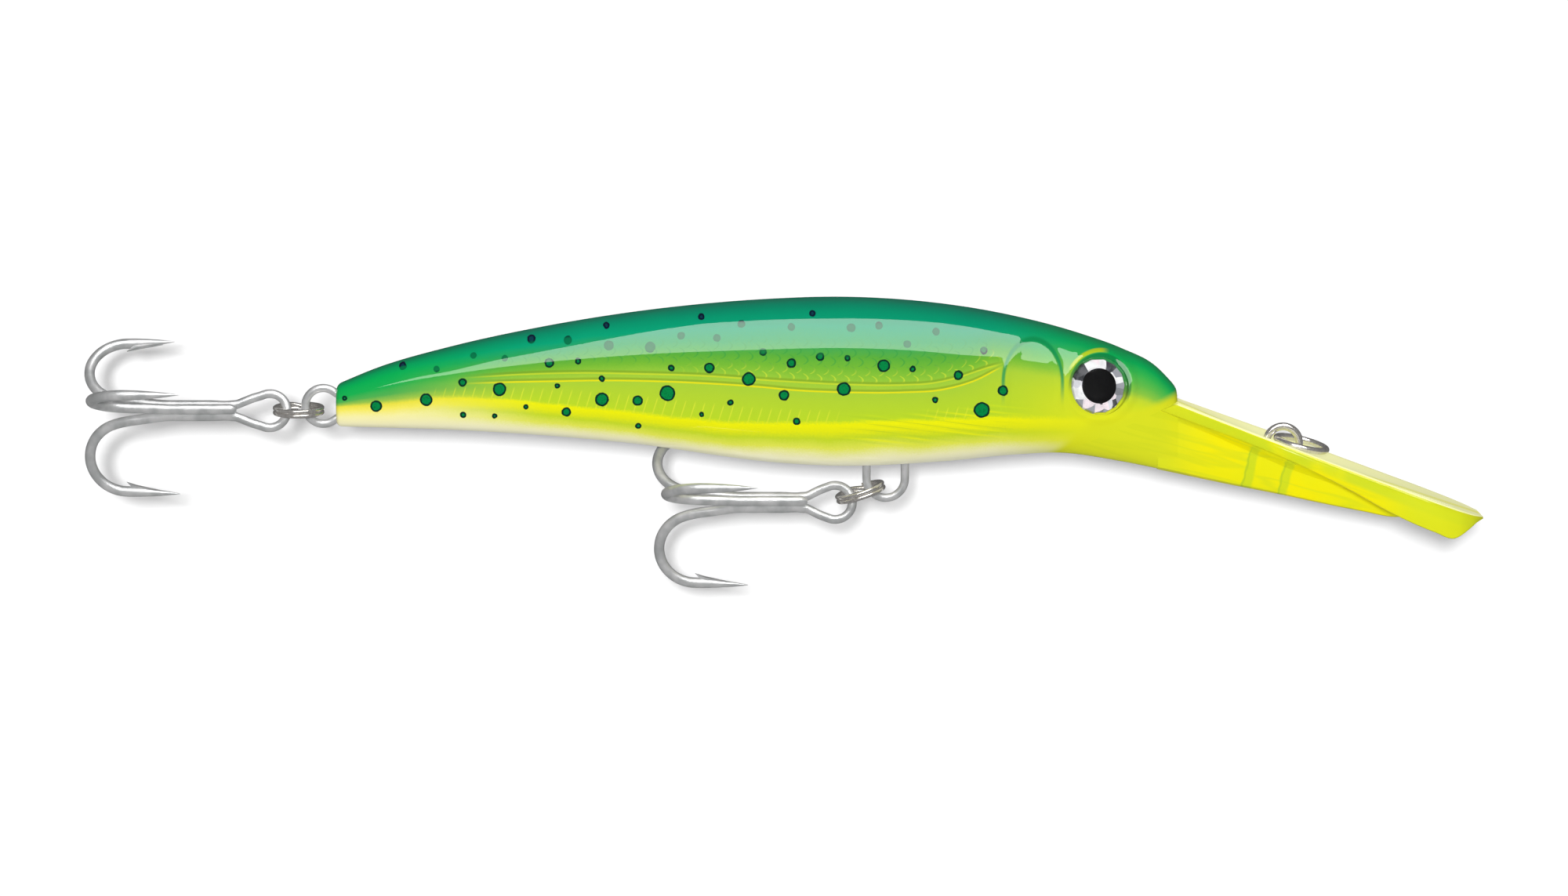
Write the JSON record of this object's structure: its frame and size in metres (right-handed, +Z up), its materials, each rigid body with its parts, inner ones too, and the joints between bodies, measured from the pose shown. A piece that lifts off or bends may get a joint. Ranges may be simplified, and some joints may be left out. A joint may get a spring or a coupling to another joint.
{
  "type": "crankbait lure",
  "caption": "Deep-diving trolling crankbait with a long clear lip, hollow two-part body, line tie ring and treble hooks on split rings.",
  "frame": {"origin": "centre of the line tie's wire arch on the lip, on the middle plane", "axes": "+X forward towards the lip's tip, +Z up through the back, +Y to the lure's left"},
  "size_m": [0.2667, 0.0301, 0.0563],
  "materials": {
    "body": "clear gloss over painted green, yellow and cream",
    "lip": "clear fluorescent yellow polycarbonate",
    "hook_steel": "matte tin plate",
    "ring_nickel": "bright nickel",
    "eye_foil": "faceted silver foil",
    "eye_pupil": "gloss black",
    "eye_lens": "clear dome",
    "scale_film": "embossed scale film",
    "weight": "cast",
    "ball_steel": "polished"
  },
  "bodies": {
    "root": {"body_shell_right": "body", "body_shell_left": "body", "diving_lip": "lip", "hanger_wire": "hook_steel", "line_tie": "hook_steel", "belly_weight": "weight", "scale_foil_right": "scale_film", "scale_foil_left": "scale_film", "eye_foil_right": "eye_foil", "eye_foil_left": "eye_foil", "eye_pupil_right": "eye_pupil", "eye_pupil_left": "eye_pupil", "eye_lens_right": "eye_lens", "eye_lens_left": "eye_lens"},
    "tow_ring": {"tow_ring": "ring_nickel"},
    "tail_ring": {"tail_split_ring": "ring_nickel"},
    "tail_hook": {"tail_hook_double": "hook_steel", "tail_hook_single": "hook_steel"},
    "belly_ring": {"belly_split_ring": "ring_nickel"},
    "belly_hook": {"belly_hook_double": "hook_steel", "belly_hook_single": "hook_steel"},
    "tail_rattle": {"rattle_ball_tail": "ball_steel"},
    "head_rattle": {"rattle_ball_head": "ball_steel"}
  },
  "joints": [
    {"name": "tow_ring_swing", "type": "hinge", "parent": "root", "child": "tow_ring", "pos_m": [-0.0012, 0, 0.00095], "axis": [0, -1, 0], "range_deg": [-5, 150]},
    {"name": "tail_ring_swing", "type": "hinge", "parent": "root", "child": "tail_ring", "pos_m": [-0.18335, 0, 0.0063], "axis": [0, -1, 0], "range_deg": [-60, 95]},
    {"name": "tail_hook_swing", "type": "hinge", "parent": "tail_ring", "child": "tail_hook", "pos_m": [-0.1876, 0, 0.0063], "axis": [0, 0, 1], "range_deg": [-50, 50]},
    {"name": "belly_ring_swing", "type": "hinge", "parent": "root", "child": "belly_ring", "pos_m": [-0.0765, 0, -0.0081], "axis": [0, -1, 0], "range_deg": [-1.5, 95]},
    {"name": "belly_hook_swing", "type": "hinge", "parent": "belly_ring", "child": "belly_hook", "pos_m": [-0.08054, 0, -0.00941], "axis": [0.309, 0, -0.9511], "range_deg": [-5, 35]},
    {"name": "tail_rattle_slide", "type": "slide", "parent": "root", "child": "tail_rattle", "axis": [0.994, 0, -0.1094], "range_m": [-0.0045, 0.0045]},
    {"name": "head_rattle_slide", "type": "slide", "parent": "root", "child": "head_rattle", "axis": [0.9964, 0, 0.0847], "range_m": [-0.004, 0.004]}
  ]
}
